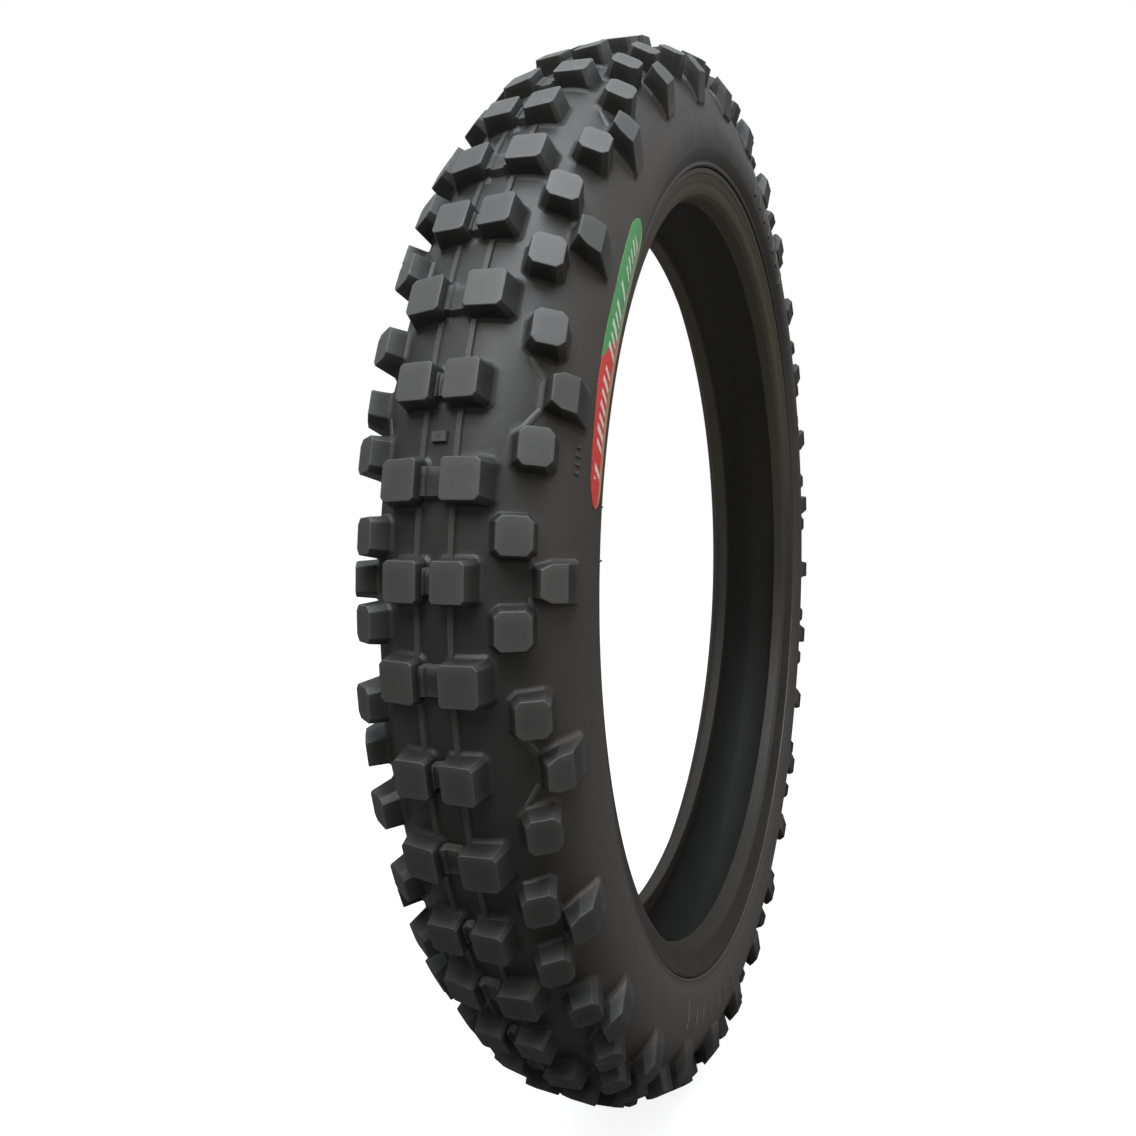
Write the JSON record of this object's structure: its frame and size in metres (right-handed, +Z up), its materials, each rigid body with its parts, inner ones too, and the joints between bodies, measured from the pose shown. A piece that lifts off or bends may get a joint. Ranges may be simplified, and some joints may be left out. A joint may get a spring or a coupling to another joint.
{
  "type": "motorcycle tire",
  "caption": "Off-road motorcycle tire with paired centre blocks, shoulder and edge knobs, plain sidewalls, wire beads and nylon plies, without rim or inner tube.",
  "frame": {"origin": "centre of the tire: on the axle line, midway between the two beads", "axes": "+Y along the axle towards the plain sidewall, the transfer is on the -Y sidewall; wheel plane is XZ with +Z up"},
  "size_m": [0.6176, 0.0874, 0.6176],
  "materials": {
    "tread_rubber": "satin moulded",
    "sidewall_rubber": "satin moulded",
    "rim_strip_rubber": "satin moulded",
    "cushion_gum": "matte",
    "breaker_cord": "rubberised nylon cord",
    "ply_cord": "rubberised nylon cord",
    "liner_rubber": "satin",
    "bead_steel": "bronze-plated wire",
    "filler_rubber": "matte",
    "flipper_fabric": "rubberised woven",
    "transfer_ink": "printed transfer"
  },
  "bodies": {
    "root": {"tread": "tread_rubber", "undertread_cushion": "cushion_gum", "breaker_ply_outer": "breaker_cord", "breaker_ply_inner": "breaker_cord", "body_ply_outer": "ply_cord", "body_ply_inner": "ply_cord", "inner_liner": "liner_rubber", "sidewall_left": "sidewall_rubber", "sidewall_right": "sidewall_rubber", "rim_strip_left": "rim_strip_rubber", "rim_strip_right": "rim_strip_rubber", "bead_wire_left": "bead_steel", "bead_wire_right": "bead_steel", "bead_filler_left": "filler_rubber", "bead_filler_right": "filler_rubber", "bead_flipper_left": "flipper_fabric", "bead_flipper_right": "flipper_fabric", "sidewall_label": "transfer_ink"}
  },
  "joints": []
}
